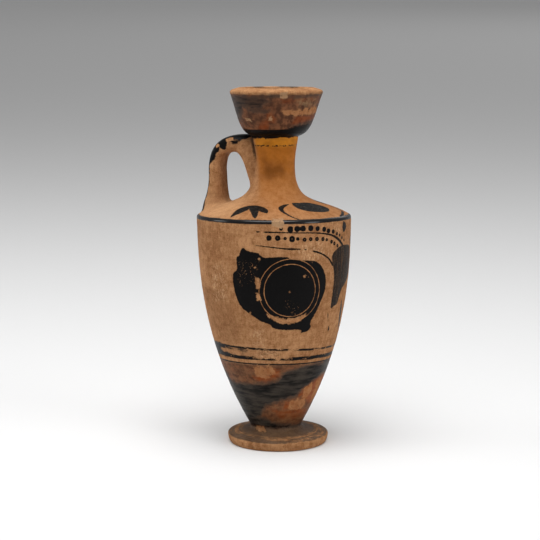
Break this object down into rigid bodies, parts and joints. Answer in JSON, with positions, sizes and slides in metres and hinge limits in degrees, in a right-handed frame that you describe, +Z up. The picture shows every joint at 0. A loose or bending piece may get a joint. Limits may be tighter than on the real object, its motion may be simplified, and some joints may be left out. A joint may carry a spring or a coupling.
{
  "type": "lekythos",
  "caption": "Small clay oil jar with a disc foot, tapering body, sloping shoulder, narrow neck, cup-shaped mouth and one strap handle; holds and pours oil.",
  "frame": {"origin": "centre of the foot's flat underside, where the jar stands", "axes": "+Z up, out of the mouth; -X towards the handle; +X towards the middle of the painted front"},
  "size_m": [0.065, 0.0653, 0.1508],
  "materials": {
    "fired_clay": "orange-brown fired clay with a worn black slip, satin where the slip is whole and matt where it is worn"
  },
  "bodies": {
    "root": {"lekythos": "fired_clay"}
  },
  "joints": []
}
